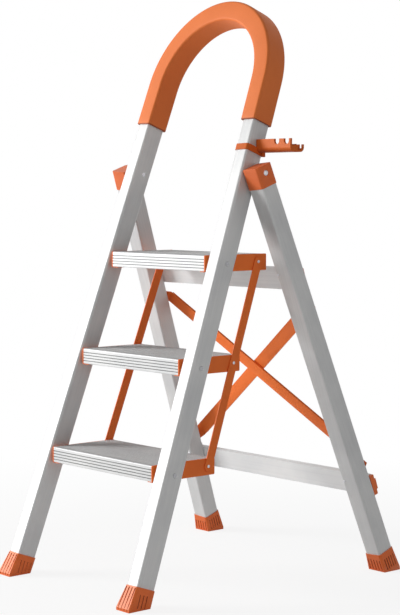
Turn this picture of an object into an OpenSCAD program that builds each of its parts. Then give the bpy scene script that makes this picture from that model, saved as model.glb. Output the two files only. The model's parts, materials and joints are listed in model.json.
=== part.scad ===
// Three-tread folding step ladder with a bent handrail.
// +X is to the right of someone facing the treads, +Y runs to the back and +Z is up.
// The origin is on the floor, midway between the four feet.

/* [Overall] */
// Height of the top tread above the floor
top_step_height = 700; // [680:1:715]
// Rise from one tread to the next
step_rise = 212; // [200:1:222]
// Height of the hinge axis above the top tread
hinge_rise = 171; // [155:1:190]
// Height of the handrail's crown above the hinge axis
crown_rise = 382; // [350:1:420]
// Lean of the front rails and of the rear legs from upright, in degrees
lean = 20; // [18:0.5:21]

/* [Front rails] */
// Width of the rail tube, seen from the front
rail_w = 36; // [32:0.5:40]
// Depth of the rail tube, front to back
rail_d = 46; // [42:0.5:49]
// Wall of the rail tube
rail_wall = 1.6; // [1.2:0.1:2.4]
// Outer corner radius of the rail tube
rail_corner = 5; // [3:0.5:7]
// Distance of a rail's centreline from the middle of the ladder at the floor
rail_foot_x = 207.5; // [195:0.5:215]
// Angle by which each rail leans in towards the crown, in degrees
rail_taper = 1.8; // [1.4:0.1:2.2]
// Wall of the handrail's soft sleeve
grip_wall = 4.2; // [3:0.1:5]
// Outer corner radius of the handrail's soft sleeve
grip_corner = 5.5; // [5:0.5:9]

/* [Rear legs] */
// Width of the leg tube, seen from the front
leg_w = 42.5; // [38:0.5:43]
// Depth of the leg tube, front to back
leg_d = 41.5; // [37:0.5:43]
// Wall of the leg tube
leg_wall = 1.8; // [1.2:0.1:2.4]
// Outer corner radius of the leg tube
leg_corner = 4; // [3:0.5:7]
// Angle by which each leg leans in towards the hinge, in degrees
leg_splay = 4.43; // [4.2:0.01:4.5]

/* [Hinges] */
// Distance of the hinge axis behind the front face of the rails
hinge_set_back = 26; // [24:0.5:30]
// Space between a rail and the cap beside it, at the hinge axis
hinge_space = 2.2; // [2:0.1:4]
// Radius of the hinge pins
hinge_pin_r = 4; // [3:0.25:5]
// Radius of the hinge pins' domed heads
hinge_head_r = 6; // [5.2:0.1:7]
// Wall of the plastic caps on the leg tops
cap_wall = 1.6; // [1.2:0.1:2]
// Length of leg that a cap covers below the hinge axis
cap_below = 30; // [22:1:45]
// Height of a cap above the hinge axis
cap_above = 15; // [12:1:24]

/* [Treads] */
// Depth of a tread, front to back
tread_depth = 165; // [150:1:172]
// Height of a tread's front face
tread_h = 34; // [30:0.5:36]
// Wall of the tread section
tread_wall = 2.2; // [1.6:0.1:3]
// How far a tread's front edge stands in front of the rails
tread_nose = 3; // [0:0.5:5]
// Width of the stiffening lips under a tread
tread_lip = 14; // [11:1:20]
// Grooves across the front face of a tread
front_grooves = 4; // [2:1:6]
// Grooves along the top of a tread
top_grooves = 16; // [8:1:20]
// Thickness of the side plates on the treads
plate_t = 2.5; // [1.5:0.1:2.6]
// Thickness of the flange that a side plate turns under its tread
flange_t = 1.5; // [1:0.1:2]
// How far the side plates of the lower two treads reach behind their link pins
plate_tail = 19; // [14:1:26]
// Space between the top tread's side plates and the rear faces of the legs
plate_space = 8.5; // [5:0.5:16]
// Depth of the top tread's hooks below its standing face
hook_depth = 28.8; // [26:0.2:36]
// Length of the top tread's hooks that lies over the upper crossbar
hook_overlap = 8; // [5:0.5:9]
// Thickness of the top tread's hooks
hook_t = 2.5; // [2:0.1:3]
// Width of the top tread's hooks
hook_w = 28; // [20:1:36]

/* [Pivots and links] */
// Distance of the tread pivots behind the front face of the rails
pivot_set_back = 24.5; // [22:0.5:27]
// Radius of the tread pivot bolts
pivot_r = 3; // [2.5:0.25:3.5]
// Distance of the link pins in front of the treads' rear faces
pin_inset = 15.1; // [13:0.1:20]
// Width of the link bars
link_w = 20.5; // [18:0.5:24]
// Thickness of the link bars
link_t = 2; // [1.5:0.1:2]
// Space between a side plate and the link bar beside it
link_gap = 0.8; // [0.7:0.1:1]
// Space between the link pins' heads and the rail beside them
side_room = 4.9; // [4.7:0.1:7]
// Radius of the link pins
pin_r = 2; // [1.75:0.25:3]

/* [Rear bracing] */
// Height of the two crossbars, measured along the legs
crossbar_h = 49; // [44:1:52]
// Depth of the crossbars behind the legs
crossbar_d = 10; // [8:0.5:12]
// Wall of the crossbars
crossbar_wall = 1.8; // [1.2:0.1:2.4]
// Middle of the lower crossbar, measured along the legs from the floor
lower_crossbar_v = 196; // [184:1:202]
// Distance of the upper crossbar's ends inside the legs' outer faces
upper_crossbar_inset = 15.5; // [4:0.5:17]
// Distance of the lower crossbar's ends inside the legs' outer faces
lower_crossbar_inset = 1; // [0:0.5:8]
// Width of the crossed brace bars
brace_w = 29; // [24:1:31]
// Thickness of the brace bars
brace_t = 2; // [1.5:0.1:2.5]
// Depth of the turned edges of the brace bars
brace_edge = 5; // [3:0.5:6]
// Distance of the forward brace bar behind the legs
brace_front = 11; // [8:0.5:12]
// Distance of the brace bars' upper ends below the upper crossbar
brace_drop = 32.5; // [28:0.5:60]
// Distance of the brace bars' lower ends above the lower crossbar
brace_lift = 31.5; // [28:0.5:60]
// Distance of the lower brace bolts beyond the legs' centrelines, along the bars
brace_bolt_out = 8; // [0:0.5:10]

/* [Feet] */
// Wall of the feet around the tubes
foot_wall = 2; // [1.6:0.1:3]
// Length of rail that a front foot covers, measured from the floor
front_foot_v = 51; // [42:1:60]
// Length of leg that a rear foot covers, measured from the floor
rear_foot_v = 47; // [40:1:56]
// How far the front soles reach forward of the rails
front_toe = 9; // [6:0.5:12]
// How far the rear soles reach forward of the legs
rear_toe = 4; // [2:0.5:8]
// How far the soles reach beyond the sides of the tubes
sole_side = 2.5; // [2:0.5:4]
// Thickness of the soles
sole_t = 6; // [4:0.5:8]
// Flutes down each face of a front foot
front_foot_flutes = 4; // [3:1:6]
// Flutes down each face of a rear foot
rear_foot_flutes = 5; // [3:1:6]
// Radius of the flutes
flute_r = 1.5; // [1:0.1:2]

/* [Tool rack] */
// Distance of the rack's clamp band above the hinge, along the rail
rack_rise = 50.6; // [46:0.2:60]
// Length of bare rail between the clamp band and the sleeve
bare_rail = 54.5; // [45:0.5:80]
// Height of the clamp band
band_h = 13.5; // [10:0.5:18]
// Thickness of the clamp band
band_t = 2; // [1.5:0.1:3]
// Distance of the rack's front behind the front face of the rail
rack_set_back = 24; // [20:1:30]
// Distance of the rack's underside below the middle of the clamp band
rack_drop = 13.5; // [10:0.5:16]
// Length of the rack, out from the rail
rack_length = 103; // [94:1:115]
// Depth of the rack, front to back
rack_depth = 39; // [35:1:44]
// Height of the rack's notched front wall
rack_h = 28; // [24:1:34]
// Thickness of the rack's front wall
rack_wall = 5; // [3:0.5:6]
// Thickness of the rack's floor
rack_floor = 4; // [3:0.5:5]
// Width of the notches in the rack's front wall
notch_w = 14.5; // [10:0.5:16]
// Depth of the notches in the rack's front wall
notch_d = 11.5; // [9:0.5:14]
// Radius of the clamp screw's knob
knob_r = 4; // [3.5:0.25:5]

/* [Hidden] */
$fn = 48;
running_gap = 0.06;          // radial clearance of the pivots and pins
pin_gap = 0.1;               // radial clearance of the link pins in the link bars
seat_gap = 0.2;              // clearance between parts that slide past each other
hairline = 0.02;             // space between the sleeve's straight ends and its bend
end_cut = 1;                 // how far a cutting body runs past the face that it cuts

hinge_height = top_step_height + hinge_rise;
overall_height = hinge_height + crown_rise;
hinge_v = hinge_height / cos(lean);
leg_half_x = leg_w / 2 / cos(leg_splay);
rail_half_x = rail_w / 2 / cos(rail_taper);
front_reach = hinge_set_back / cos(lean) + hinge_height * tan(lean) + front_toe;
heel = 1;                    // how far the rear soles reach behind the legs
rear_reach = hinge_height * tan(lean) + leg_d / 2 / cos(lean) + heel;
hinge_y = (front_reach - rear_reach) / 2;
front_y = hinge_y - hinge_set_back / cos(lean) - hinge_height * tan(lean);
rear_y = hinge_y + hinge_height * tan(lean);

// Distance along a rail to a point at height z and depth d behind the rail's front face
function rail_v(z, d) = (z + d * sin(lean)) / cos(lean);
function rail_y(v, d) = front_y + v * sin(lean) + d * cos(lean);
function rail_x(v) = rail_foot_x - v * tan(rail_taper);
function leg_x(v) = leg_foot_x - v * tan(leg_splay);

// Steps count from 0 at the bottom to 2 at the top
function step_z(i) = top_step_height - (2 - i) * step_rise;
function pivot_z(i) = step_z(i) - tread_h / 2;
function pivot_v(i) = rail_v(pivot_z(i), pivot_set_back);
function pivot_y(i) = rail_y(pivot_v(i), pivot_set_back);
function tread_y(i) = front_y + step_z(i) * tan(lean) - tread_nose;
function pin_y(i) = tread_y(i) + tread_depth - pin_inset;
function rail_inside_x(i) = rail_x(pivot_v(i)) - rail_half_x;
function rail_outside_x(i) = rail_x(pivot_v(i)) + rail_half_x;
pin_stand = 0.3;             // how far a link pin's head stands off its link bar
pin_head_h = 1;
step_gap = plate_t + link_gap + link_t + pin_stand + pin_head_h + side_room;
function tread_half(i) = rail_inside_x(i) - step_gap;

// The legs stand just outside the rails at the hinges
hinge_rail_v = rail_v(hinge_height, hinge_set_back);
hinge_rail_x = rail_x(hinge_rail_v) + rail_half_x;
cap_inner_x = hinge_rail_x + hinge_space;
hinge_leg_x = cap_inner_x + cap_wall + leg_half_x;
hinge_outer_x = hinge_leg_x + leg_half_x + cap_wall;
leg_foot_x = hinge_leg_x + hinge_v * tan(leg_splay);
hinge_along = hinge_v / cos(leg_splay);
leg_top = cap_above - cap_wall;

// The bend is tangent to both rails and its crown reaches the overall height
crown_v = (overall_height - grip_wall * sin(lean)) / cos(lean);
crown_mid_v = crown_v - rail_w / 2 - grip_wall;
bend_r = (rail_foot_x - crown_mid_v * tan(rail_taper)) / (1 / cos(rail_taper) - tan(rail_taper));
bend_v = crown_mid_v - bend_r;
rail_length = (bend_v + bend_r * sin(rail_taper)) / cos(rail_taper);
rack_v = hinge_rail_v + rack_rise;
grip_reach = rail_length - rack_v - band_h / 2 - bare_rail;
rail_start = 22;             // lower end of the rail tubes, inside the feet
leg_start = 15;              // lower end of the leg tubes, inside the feet

// The top tread's hooks rest on the upper crossbar, and the braces keep clear of both
hook_rest = 0.3;             // clearance of the hooks over the crossbar
hook_end_d = leg_d / 2 + hook_overlap;
hook_end_v = (step_z(2) - hook_depth - hook_rest - hook_end_d * sin(lean)) / cos(lean);
upper_crossbar_v = hook_end_v - crossbar_h / 2;
brace_top_v = upper_crossbar_v - crossbar_h / 2 - brace_drop;
brace_foot_v = lower_crossbar_v + crossbar_h / 2 + brace_lift;
top_plate_tail = rear_y - pivot_z(2) * tan(lean) + leg_d / 2 / cos(lean) - plate_space - pin_y(2);
washer_r = 8;
head_h = 2;
nut_h = 5;
nut_r = 5.6;
spacer_r = 6;
sink_depth = 1.2;            // depth of the countersinks in the rails' outer faces
head_drop = 0.4;             // depth of the heads below the rails' outer faces
flute_out = flute_r * 0.3;   // distance of a flute's axis outside the foot's face
flute_start = 10;            // lower end of the flutes on the feet's sides
flute_share = 0.75;          // share of a foot's height that its shorter flutes reach
rivet_r = 2;
rivet_head_r = 3;
rivet_head_h = 1.1;
plate_h = tread_h + flange_t;
pivot_head_r = pivot_r + 1.2;
sink_r = pivot_r + 3.5;      // outer radius of the countersinks
sink_slope = 0.3;            // more than the rail's face rises across a countersink
brace_step = brace_edge + 1; // depth from the forward brace bar to the rear one
ear_h = 11;                  // height of the crossbars' ears behind the legs
ear_w = 18;
ear_rise = 4;                // distance of the ears' rivets above the crossbars
cap_end = 7;                 // thickness of the crossbars' end caps
cap_plug = 9;                // length of the caps' plugs inside the crossbars
cap_proud = 1.2;             // how far the caps stand behind the crossbars
cap_step = 1.5;              // how far the caps stop short of the crossbars' edges
boss_h = 24;

alloy = "gainsboro";
orange = "#e5702f";
steel = "lightgrey";
black_steel = "#3c3c3e";

module on_left() mirror([1, 0, 0]) children();

module both_sides() {
    children();
    on_left() children();
}

// The right rail's own frame: front face at y = 0, centreline at x = 0, z along the rail
module rail_frame() {
    translate([0, front_y, 0]) rotate([-lean, 0, 0])
        translate([rail_foot_x, 0, 0]) rotate([0, -rail_taper, 0]) children();
}

// The right leg's own frame: centreline on the z axis
module leg_frame() {
    translate([0, rear_y, 0]) rotate([lean, 0, 0])
        translate([leg_foot_x, 0, 0]) rotate([0, -leg_splay, 0]) children();
}

// The plane of the rear legs: x across, y behind the legs' centrelines, z up along them
module rear_plane() translate([0, rear_y, 0]) rotate([lean, 0, 0]) children();

module along_x() rotate([90, 0, 90]) children();

// A cylinder that runs along +X from its start
module rod_x(r, length) rotate([0, 90, 0]) cylinder(r = r, h = length);

module rounded_rect(size, r) {
    translate([-size[0] / 2 + r, -size[1] / 2]) square([size[0] - 2 * r, size[1]]);
    translate([-size[0] / 2, -size[1] / 2 + r]) square([size[0], size[1] - 2 * r]);
    for (x = [-1, 1], y = [-1, 1])
        translate([x * (size[0] / 2 - r), y * (size[1] / 2 - r)]) circle(r);
}

module tube_ring(size, r, wall) {
    difference() {
        rounded_rect(size, r);
        rounded_rect([size[0] - 2 * wall, size[1] - 2 * wall], max(r - wall, 0.5));
    }
}

module rail_section() translate([0, rail_d / 2]) tube_ring([rail_w, rail_d], rail_corner, rail_wall);

module grip_section() {
    translate([0, rail_d / 2]) difference() {
        rounded_rect([rail_w + 2 * grip_wall, rail_d + 2 * grip_wall], grip_corner);
        rounded_rect([rail_w, rail_d], rail_corner);
    }
}

// Sweeps a section given in a rail's own frame round the bend, from the right-hand joint
module round_bend(start, sweep) {
    translate([0, front_y, 0]) rotate([-lean, 0, 0]) translate([0, 0, bend_v])
        rotate([90, 0, 0]) mirror([0, 0, 1]) rotate([0, 0, start])
            rotate_extrude(angle = sweep) translate([bend_r, 0]) children();
}

/* Front frame */

module rail_with_holes() {
    difference() {
        rail_frame() translate([0, 0, rail_start])
            linear_extrude(rail_length - rail_start) rail_section();
        for (i = [0:2])
            translate([rail_inside_x(i) - 2 * end_cut, pivot_y(i), pivot_z(i)])
                rod_x(pivot_r + running_gap, 2 * rail_half_x + 4 * end_cut);
        for (i = [0:2]) translate([rail_outside_x(i) - sink_depth, pivot_y(i), pivot_z(i)])
            rotate([0, 90, 0]) cylinder(r1 = sink_r - 2, r2 = sink_r, h = sink_depth + sink_slope);
        translate([hinge_rail_x - 2 * rail_half_x - 2 * end_cut, hinge_y, hinge_height])
            rod_x(hinge_pin_r + running_gap, 2 * rail_half_x + 4 * end_cut);
    }
}

module right_rail() color(alloy) rail_with_holes();

module left_rail() color(alloy) on_left() rail_with_holes();

module handle_bend() color(alloy) round_bend(rail_taper, 180 - 2 * rail_taper) rail_section();

module handle_grip() {
    color(orange) {
        round_bend(rail_taper, 180 - 2 * rail_taper) grip_section();
        both_sides() rail_frame() translate([0, 0, rail_length - grip_reach])
            linear_extrude(grip_reach - hairline) grip_section();
    }
}

// A rod from point p to point q
module rod_between(p, q, r) {
    d = q - p;
    translate(p) rotate([0, acos(d[2] / norm(d)), atan2(d[1], d[0])])
        cylinder(r = r, h = norm(d), $fn = 16);
}

// World points beside a rail or a leg: x from its centreline, d behind its front face
// or its middle, and v along it
function rail_point(x, d, v) = [rail_x(v) + x, rail_y(v, d), v * cos(lean) - d * sin(lean)];
function leg_point(x, d, v) =
    [leg_x(v) + x, rear_y - v * sin(lean) + d * cos(lean), v * cos(lean) + d * sin(lean)];

// A boot flares from its collar, given as children, to a flat sole on the floor.
// sole gives the left, front, right and back edges of the sole.
module boot_body(sole) {
    hull() {
        translate([sole[0], sole[1], 0]) cube([sole[2] - sole[0], sole[3] - sole[1], sole_t]);
        children();
    }
}

// Places of the flutes: along the sole's front edge, and as shares of the tube's faces
function sole_flute(sole, i, count) = sole[0] + (sole[2] - sole[0]) * (i + 0.7) / (count + 0.4);
function face_flute(i, count) = (i + 0.5) / count - 0.5;
function side_flute(i, count) = i / (count + 1);

module front_foot_solid() {
    n = front_foot_flutes;
    reach = rail_half_x + sole_side;
    sole = [rail_foot_x - reach, front_y - front_toe, rail_foot_x + reach, front_y + rail_d];
    collar = [rail_w + 2 * foot_wall, rail_d + 2 * foot_wall];
    side = rail_w / 2 + foot_wall + flute_out;
    difference() {
        boot_body(sole) rail_frame() translate([0, rail_d / 2, front_foot_v - 4])
            linear_extrude(4) rounded_rect(collar, rail_corner + foot_wall);
        rail_frame() translate([0, rail_d / 2, rail_start]) linear_extrude(front_foot_v)
            rounded_rect([rail_w, rail_d], rail_corner);
        for (i = [0:n - 1])
            rod_between([sole_flute(sole, i, n), sole[1], sole_t / 2],
                rail_point(face_flute(i, n) * rail_w, -foot_wall - flute_out, front_foot_v - 3), flute_r);
        for (i = [1:n], out = [-1, 1])
            rod_between(rail_point(out * (reach + flute_out), side_flute(i, n) * rail_d, flute_start),
                rail_point(out * side, side_flute(i, n) * rail_d, front_foot_v * flute_share), flute_r);
    }
}

module right_front_foot() color(orange) front_foot_solid();

module left_front_foot() color(orange) on_left() front_foot_solid();

// Countersunk bolts that carry the treads. Each runs from the nut inside its tread to a
// head that lies just below the outer face of the rail.

module tread_pivot_bolts() {
    color(steel) both_sides() for (i = [0:2]) {
        inner = tread_half(i) - nut_h - 3;
        seat = rail_outside_x(i) - sink_depth;
        translate([inner, pivot_y(i), pivot_z(i)]) rod_x(pivot_r, seat - inner + 0.1);
        translate([seat, pivot_y(i), pivot_z(i)]) rod_x(pivot_head_r, sink_depth - head_drop);
    }
}

module domed_head(r, h) {
    rotate_extrude() intersection() {
        translate([0, h - (r * r + h * h) / (2 * h)]) circle((r * r + h * h) / (2 * h), $fn = 96);
        square([r, h]);
    }
}

module hex_nut_x(hole_r, r, h) {
    difference() {
        rotate([0, 90, 0]) cylinder(r = r, h = h, $fn = 6);
        translate([-end_cut, 0, 0]) rod_x(hole_r, h + 2 * end_cut);
    }
}

module tread_pivot_nuts() {
    color(steel) both_sides() for (i = [0:2])
        translate([tread_half(i) - nut_h - seat_gap, pivot_y(i), pivot_z(i)])
            hex_nut_x(pivot_r, nut_r, nut_h);
}

module tread_pivot_spacers() {
    color(black_steel) both_sides() for (i = [0:2]) {
        start = tread_half(i) + plate_t + seat_gap;
        length = rail_inside_x(i) - start - seat_gap - 0.1;
        translate([start, pivot_y(i), pivot_z(i)]) difference() {
            rod_x(spacer_r, length);
            translate([-end_cut, 0, 0]) rod_x(pivot_r, length + 2 * end_cut);
        }
    }
}

// Each hinge pin is a rivet, with a broad head outside and a low one inside the ladder
module hinge_pins() {
    head_x = hinge_outer_x - 0.7;
    inner = hinge_rail_x - 2 * rail_half_x - 0.2;
    color(steel) both_sides() translate([0, hinge_y, hinge_height]) {
        translate([inner, 0, 0]) rod_x(hinge_pin_r, head_x - inner + 0.5);
        translate([head_x, 0, 0]) rotate([0, 90, 0]) domed_head(hinge_head_r, head_h + 0.8);
        translate([inner, 0, 0]) rotate([0, -90, 0]) domed_head(hinge_pin_r + 0.6, 1.1);
    }
}

module hinge_washers() {
    tilt = washer_r * (tan(rail_taper) + tan(leg_splay));
    start = hinge_rail_x + washer_r * tan(rail_taper) + 0.05;
    length = cap_inner_x - hinge_rail_x - tilt - seat_gap;
    color(black_steel) both_sides() translate([start, hinge_y, hinge_height]) difference() {
        rod_x(washer_r, length);
        translate([-end_cut, 0, 0]) rod_x(hinge_pin_r, length + 2 * end_cut);
    }
}

/* Tool rack, on the right rail only */

rack_x0 = rail_x(rack_v) + rail_half_x + band_t - 1;
rack_y0 = rail_y(rack_v, 0) + rack_set_back;
rack_z0 = rack_v * cos(lean) - rack_drop;
rack_round = 10;             // radius of the rack's lower front edge
rib_y = 17.5;                // middle rib behind the front of the rack
rib_t = 4;
rib_h = 14.5;
lip_r = 10;                  // outer radius of the curved rear lip
lip_t = 4;
lip_h = 16;
lip_slot = 8;                // width of the rear lip's slots, and their height above its underside
post_w = 5;                  // width of the post at the rack's outer end
knob_x = 6;                  // knob's distance from the rack's inner end
knob_y = 15;                 // knob's distance behind the rack's front
knob_h = 9;
knob_shank_r = 1.8;

// Section of the rack: y to the back, z up
module rack_section() {
    lip_y = rack_depth - lip_r;
    difference() {
        union() {
            square([lip_y, rack_floor]);
            square([rack_wall, rack_h]);
            translate([rack_round, rack_round]) circle(rack_round);
            translate([rib_y, 0]) square([rib_t, rib_h]);
        }
        // the lower front edge is round
        difference() {
            translate([-end_cut, -end_cut]) square([rack_round + end_cut, rack_round + end_cut]);
            translate([rack_round, rack_round]) circle(rack_round);
        }
        translate([rack_wall, rack_floor]) square([rib_y - rack_wall, rack_h]);
    }
    difference() {
        translate([lip_y, lip_r]) circle(lip_r);
        translate([lip_y, lip_r]) circle(lip_r - lip_t);
        translate([lip_y - lip_r - end_cut, -end_cut]) square([lip_r + end_cut, 2 * lip_r + 2 * end_cut]);
        translate([lip_y - end_cut, lip_r]) square([lip_r + 2 * end_cut, lip_r + end_cut]);
    }
    translate([rack_depth - lip_t, lip_r]) square([lip_t, lip_h - lip_r]);
}

module tool_rack() {
    notches = [rack_length - post_w - notch_w, rack_length - post_w - 3 * notch_w];
    color(orange) difference() {
        union() {
            translate([rack_x0, rack_y0, rack_z0]) {
                along_x() linear_extrude(rack_length) rack_section();
                // inner end plate against the clamp band, and a low outer end wall
                for (x = [0, rack_length - rack_floor])
                    translate([x, rack_wall - end_cut / 2, rack_floor - end_cut / 2])
                        cube([rack_floor, rib_y - rack_wall + end_cut, rib_h - rack_floor]);
            }
            rail_frame() translate([0, rail_d / 2, rack_v - band_h / 2]) linear_extrude(band_h)
                rounded_rect([rail_w + 2 * band_t, rail_d + 2 * band_t], rail_corner + band_t);
        }
        rail_frame() translate([0, rail_d / 2, rack_v - band_h]) linear_extrude(2 * band_h)
            rounded_rect([rail_w, rail_d], rail_corner);
        for (x = notches) translate([rack_x0 + x, rack_y0 - end_cut, rack_z0 + rack_h - notch_d]) {
            translate([0, 0, notch_w / 2]) cube([notch_w, rack_wall + 2 * end_cut, notch_d]);
            translate([notch_w / 2, 0, notch_w / 2]) rotate([-90, 0, 0])
                cylinder(r = notch_w / 2, h = rack_wall + 2 * end_cut);
        }
        for (i = [0:1])
            translate([rack_x0 + rack_length - rack_floor - (2 * i + 1) * lip_slot,
                rack_y0 + rack_depth - lip_r, rack_z0 + lip_slot])
                cube([lip_slot, lip_r + end_cut, lip_h]);
        translate([rack_x0 + knob_x, rack_y0 + knob_y, rack_z0 - end_cut])
            cylinder(r = knob_shank_r + running_gap, h = rack_floor);
    }
}

module rack_clamp_screw() {
    color(orange) translate([rack_x0 + knob_x, rack_y0 + knob_y, rack_z0 - seat_gap]) {
        cylinder(r = knob_shank_r, h = rack_floor - end_cut);
        mirror([0, 0, 1]) {
            cylinder(r = knob_r, h = knob_h - 1);
            translate([0, 0, knob_h - 1]) cylinder(r1 = knob_r, r2 = knob_r - 1, h = 1);
        }
    }
}

/* Rear frame */

module leg_with_hole() {
    difference() {
        leg_frame() translate([0, 0, leg_start])
            linear_extrude(hinge_along + leg_top - leg_start)
                tube_ring([leg_w, leg_d], leg_corner, leg_wall);
        translate([hinge_leg_x - leg_w, hinge_y, hinge_height]) rod_x(hinge_pin_r + running_gap, 2 * leg_w);
        leg_frame() rivet_hole();
        at_brace_bolts() cylinder(r = brace_bolt_r, h = leg_d);
    }
}

// Holes for the crossbar rivets, through both walls of a leg near its inner side
rivet_inset = 5;
function ear_rivet_v(v) = v + crossbar_h / 2 + ear_rise;

module rivet_hole() {
    for (v = [upper_crossbar_v, lower_crossbar_v])
        translate([-leg_w / 2 + rivet_inset, -leg_d, ear_rivet_v(v) / cos(leg_splay)])
            rotate([-90, 0, 0]) cylinder(r = rivet_r, h = 2 * leg_d);
}

module right_leg() color(alloy) leg_with_hole();

module left_leg() color(alloy) on_left() leg_with_hole();

module rear_foot_solid() {
    n = rear_foot_flutes;
    reach = leg_half_x + sole_side;
    sole = [leg_foot_x - reach, rear_y - leg_d / 2 / cos(lean) - rear_toe,
        leg_foot_x + reach, rear_y + leg_d / 2 / cos(lean) + heel];
    collar = [leg_w + 2 * foot_wall, leg_d + 2 * foot_wall];
    face = leg_d / 2 + foot_wall + flute_out;
    side = leg_w / 2 + foot_wall + flute_out;
    difference() {
        boot_body(sole) leg_frame() translate([0, 0, rear_foot_v - 4])
            linear_extrude(4) rounded_rect(collar, leg_corner + foot_wall);
        leg_frame() translate([0, 0, leg_start]) linear_extrude(rear_foot_v)
            rounded_rect([leg_w, leg_d], leg_corner);
        for (i = [0:n - 1])
            rod_between([sole_flute(sole, i, n), sole[1], sole_t / 2],
                leg_point(face_flute(i, n) * leg_w, -face, rear_foot_v * flute_share), flute_r);
        for (i = [1:n], out = [-1, 1])
            rod_between(leg_point(out * (reach + flute_out), (side_flute(i, n) - 0.5) * leg_d, flute_start),
                leg_point(out * side, (side_flute(i, n) - 0.5) * leg_d, rear_foot_v * flute_share), flute_r);
    }
}

module right_rear_foot() color(orange) rear_foot_solid();

module left_rear_foot() color(orange) on_left() rear_foot_solid();

module hinge_cap_solid() {
    difference() {
        leg_frame() translate([0, 0, hinge_along - cap_below]) linear_extrude(cap_below + cap_above)
            rounded_rect([leg_w + 2 * cap_wall, leg_d + 2 * cap_wall], leg_corner + cap_wall);
        leg_frame() translate([0, 0, hinge_along - cap_below - end_cut])
            linear_extrude(cap_below + leg_top + end_cut) rounded_rect([leg_w, leg_d], leg_corner);
        translate([hinge_leg_x - leg_w, hinge_y, hinge_height]) rod_x(hinge_pin_r + running_gap, 2 * leg_w);
        // flat seat for the bolt's head
        translate([hinge_outer_x - 0.8, hinge_y, hinge_height]) rod_x(hinge_head_r + 1, 5);
    }
}

module right_hinge_cap() color(orange) hinge_cap_solid();

module left_hinge_cap() color(orange) on_left() hinge_cap_solid();

// A crossbar is a channel open to the back that lies on the legs' rear faces
module crossbar(v, inset) {
    half = leg_x(v) + leg_half_x - inset - cap_end;
    low = v - crossbar_h / 2;
    rear_plane() translate([0, leg_d / 2, 0]) difference() {
        union() {
            translate([-half, 0, low]) cube([2 * half, crossbar_wall, crossbar_h]);
            for (z = [low, low + crossbar_h - crossbar_wall])
                translate([-half, 0, z]) cube([2 * half, crossbar_d, crossbar_wall]);
            // ears behind the legs, for the long rivets
            for (side = [-1, 1])
                translate([side * (leg_x(v) - leg_w / 2 + rivet_inset + ear_rise) - ear_w / 2, 0, v])
                    cube([ear_w, crossbar_wall, crossbar_h / 2 + ear_h]);
        }
        for (side = [0, 1]) mirror([side, 0, 0]) translate([0, -leg_d / 2, 0])
            translate([leg_foot_x, 0, 0]) rotate([0, -leg_splay, 0]) rivet_hole();
    }
}

module upper_crossbar() color(alloy) crossbar(upper_crossbar_v, upper_crossbar_inset);

module lower_crossbar() color(alloy) crossbar(lower_crossbar_v, lower_crossbar_inset);

// A cap closes each end of a crossbar; a boss on it can stand proud at the back
module crossbar_caps(v, inset, boss) {
    half = leg_x(v) + leg_half_x - inset - cap_end;
    low = v - crossbar_h / 2;
    both_sides() rear_plane() translate([half, leg_d / 2, 0]) {
        translate([0, 0, low + cap_step])
            cube([cap_end, crossbar_d + cap_proud, crossbar_h - 2 * cap_step]);
        translate([-cap_plug, crossbar_wall, low + crossbar_wall])
            cube([cap_plug, crossbar_d - crossbar_wall, crossbar_h - 2 * crossbar_wall]);
        if (boss > 0) translate([0, crossbar_d + cap_proud, v - boss_h / 2])
            cube([cap_end, boss, boss_h]);
    }
}

module upper_crossbar_caps() color(orange) crossbar_caps(upper_crossbar_v, upper_crossbar_inset, 0);

module lower_crossbar_caps() color(orange) crossbar_caps(lower_crossbar_v, lower_crossbar_inset, 3.6);

module crossbar_rivets() {
    color(steel) both_sides() leg_frame() for (v = [upper_crossbar_v, lower_crossbar_v])
        translate([-leg_w / 2 + rivet_inset, -leg_d / 2, ear_rivet_v(v) / cos(leg_splay)]) {
            rotate([-90, 0, 0]) cylinder(r = rivet_r, h = leg_d + crossbar_wall);
            rotate([90, 0, 0]) domed_head(rivet_head_r, 2 * rivet_head_h);
            translate([0, leg_d + crossbar_wall, 0]) rotate([-90, 0, 0])
                domed_head(rivet_head_r, rivet_head_h);
        }
}

// A brace bar runs across the rear frame. Its two ends lie on the legs and its middle
// stands behind them, so that the two bars can cross.
function brace_top_x() = leg_x(brace_top_v);
function brace_foot_x() = leg_x(brace_foot_v);
brace_run = brace_top_x() + brace_foot_x();
brace_rise = brace_top_v - brace_foot_v;
brace_length = sqrt(brace_run * brace_run + brace_rise * brace_rise);
brace_angle = atan2(brace_rise, brace_run);
brace_end = 12;              // flat end of a brace bar beyond its bolt
brace_flat = 6.5;            // flat end of a brace bar before its bolt
brace_ramp = 10;             // length over which a brace bar steps back
brace_bolt_r = 3;
brace_bolt_in = 8;           // length of a brace bolt inside the leg
brace_mid = brace_length * brace_foot_x() / brace_run;

// Side view of a brace bar as a strip: x along the bar from its lower end, y to the back
module brace_strip(back) {
    low = -brace_bolt_out;
    high = brace_length;
    miter = brace_t * tan(atan2(back, brace_ramp) / 2);
    near = brace_flat;
    far = brace_flat + brace_ramp;
    polygon([[low - brace_end, 0], [low + near, 0], [low + far, back],
        [high - far, back], [high - near, 0], [high + brace_end, 0],
        [high + brace_end, brace_t], [high - near + miter, brace_t],
        [high - far + miter, back + brace_t], [low + far - miter, back + brace_t],
        [low + near - miter, brace_t], [low - brace_end, brace_t]]);
}

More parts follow.
